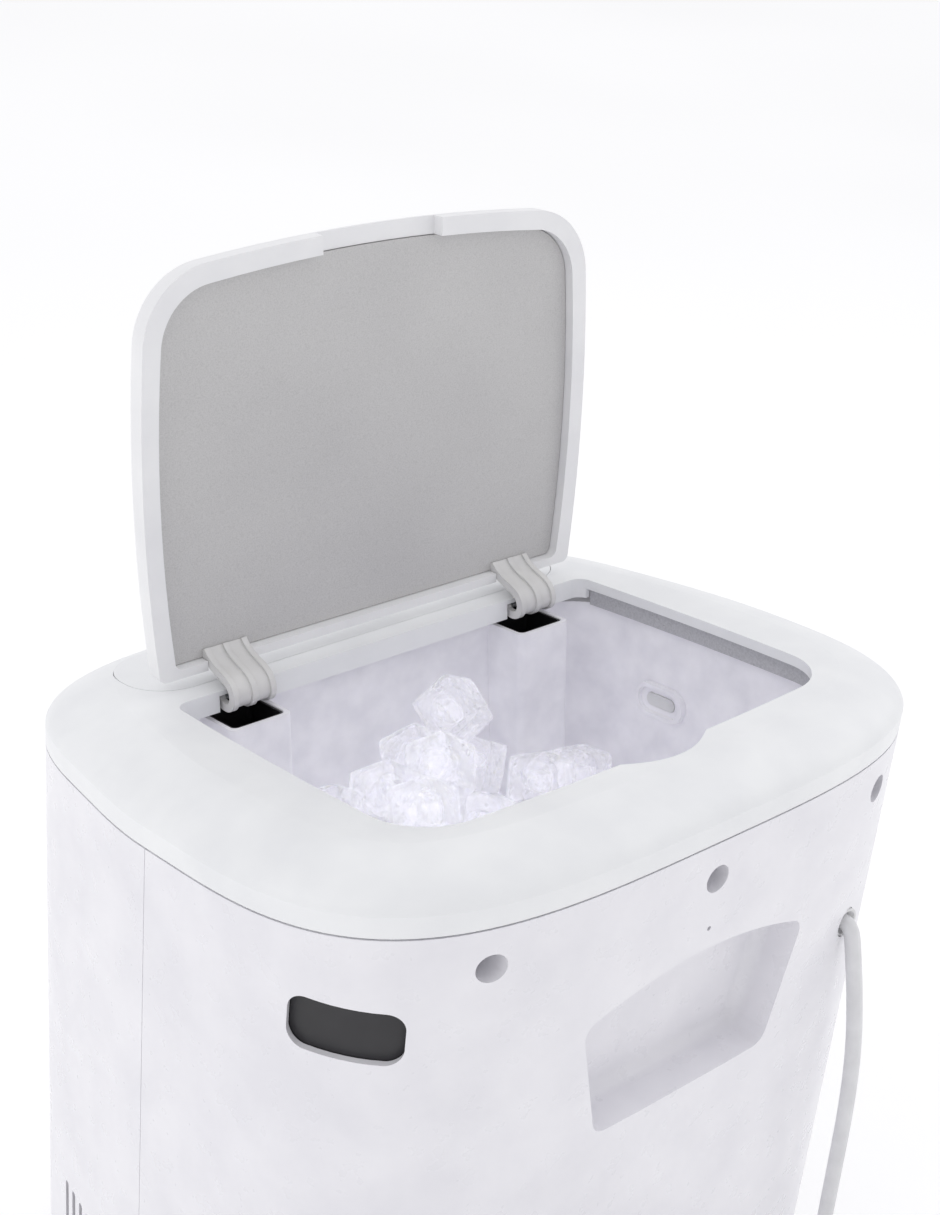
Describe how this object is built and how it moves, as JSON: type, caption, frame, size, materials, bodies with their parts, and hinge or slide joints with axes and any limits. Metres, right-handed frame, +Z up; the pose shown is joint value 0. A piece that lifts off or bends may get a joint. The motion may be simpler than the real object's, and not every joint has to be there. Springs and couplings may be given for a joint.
{
  "type": "ice maker",
  "caption": "Countertop ice maker with a hinged lid held open over a deep ice bin, moulded white casing, rear hand-hold and mains lead.",
  "frame": {"origin": "middle of the body's outline on the surface it stands on", "axes": "+Z up, -Y to the front with the control panel, +Y to the rear with the mains lead, +X to the left seen from behind"},
  "size_m": [0.3213, 0.4294, 0.5066],
  "materials": {
    "casing_white": "satin",
    "shell_white": "satin",
    "liner_grey": "fine texture",
    "arm_grey": "matte",
    "bin_white": "satin",
    "seal_grey": "matte",
    "black_plastic": "matte",
    "foam": "porous",
    "button_grey": "satin",
    "smoked_lens": "polished",
    "circuit_green": "satin",
    "switch_black": "matte",
    "steel": "brushed",
    "nickel": "plated",
    "copper": "drawn tube",
    "clear_plastic": "clear",
    "hose": "silicone",
    "compressor_black": "satin",
    "fin_aluminium": "mill",
    "motor_steel": "zinc plated",
    "fan_white": "satin",
    "rubber_black": "matte",
    "drain_white": "satin",
    "drain_rubber": "matte",
    "cord_grey": "satin PVC",
    "plug_brass": "polished"
  },
  "bodies": {
    "cabinet": {"top_cover": "casing_white", "control_panel": "casing_white", "rear_shell": "shell_white", "front_shell": "shell_white", "ice_bin": "bin_white", "sensor_housing": "bin_white", "ice_ramp": "bin_white", "bin_seal": "seal_grey", "pocket_liners": "black_plastic", "water_pump": "black_plastic", "fan_shroud": "black_plastic", "base_plate": "black_plastic", "corner_vents": "black_plastic", "bin_posts": "black_plastic", "bin_foam": "foam", "display_window": "smoked_lens", "sensor_eye": "smoked_lens", "control_board": "circuit_green", "power_board": "circuit_green", "tact_switches": "switch_black", "side_frames": "steel", "cover_screws": "steel", "hinge_pins": "steel", "evaporator_grid": "nickel", "evaporator_coil": "copper", "condenser_tube": "copper", "suction_line": "copper", "discharge_line": "copper", "liquid_line": "copper", "capillary_line": "copper", "filter_drier": "copper", "water_distributor": "clear_plastic", "water_sump": "clear_plastic", "delivery_hose": "hose", "inlet_hose": "hose", "compressor": "compressor_black", "condenser_fins": "fin_aluminium", "fan_motor": "motor_steel", "feet": "rubber_black", "compressor_mounts": "rubber_black", "drain_port": "drain_white", "cord_gland": "drain_white", "cord_lead": "cord_grey", "cord_coil": "cord_grey", "cord_tail": "cord_grey", "plug_body": "cord_grey", "plug_pins": "plug_brass"},
    "lid": {"lid_shell": "casing_white", "lid_liner": "liner_grey", "hinge_arm_left": "arm_grey", "hinge_arm_right": "arm_grey"},
    "power_button": {"button_power": "button_grey"},
    "select_button": {"button_select": "button_grey"},
    "clean_button": {"button_clean": "button_grey"},
    "curtain": {"ice_curtain": "clear_plastic"},
    "fan": {"fan_blades": "fan_white"},
    "impeller": {"pump_impeller": "fan_white"},
    "drain_plug": {"drain_cap": "drain_rubber"}
  },
  "joints": [
    {"name": "lid_hinge", "type": "hinge", "parent": "cabinet", "child": "lid", "pos_m": [0, -0.05975, 0.32943], "axis": [1, 0, 0], "range_deg": [-87.4, 0]},
    {"name": "power_press", "type": "slide", "parent": "cabinet", "child": "power_button", "axis": [0, 0.1357, -0.9907], "range_m": [0, 0.0012], "stiffness_N_per_m": 600},
    {"name": "select_press", "type": "slide", "parent": "cabinet", "child": "select_button", "axis": [0, 0.1357, -0.9907], "range_m": [0, 0.0012], "stiffness_N_per_m": 600},
    {"name": "clean_press", "type": "slide", "parent": "cabinet", "child": "clean_button", "axis": [0, 0.1357, -0.9907], "range_m": [0, 0.0012], "stiffness_N_per_m": 600},
    {"name": "curtain_swing", "type": "hinge", "parent": "cabinet", "child": "curtain", "pos_m": [0, -0.0862, 0.301], "axis": [1, 0, 0], "range_deg": [0, 18]},
    {"name": "fan_spin", "type": "hinge", "parent": "cabinet", "child": "fan", "pos_m": [-0.118, 0.03, 0.0645], "axis": [1, 0, 0], "continuous": true},
    {"name": "impeller_spin", "type": "hinge", "parent": "cabinet", "child": "impeller", "pos_m": [0.118, -0.086, 0.037], "axis": [0, 0, 1], "continuous": true},
    {"name": "drain_pull", "type": "slide", "parent": "cabinet", "child": "drain_plug", "axis": [0, 1, 0], "range_m": [0, 0.03]}
  ]
}
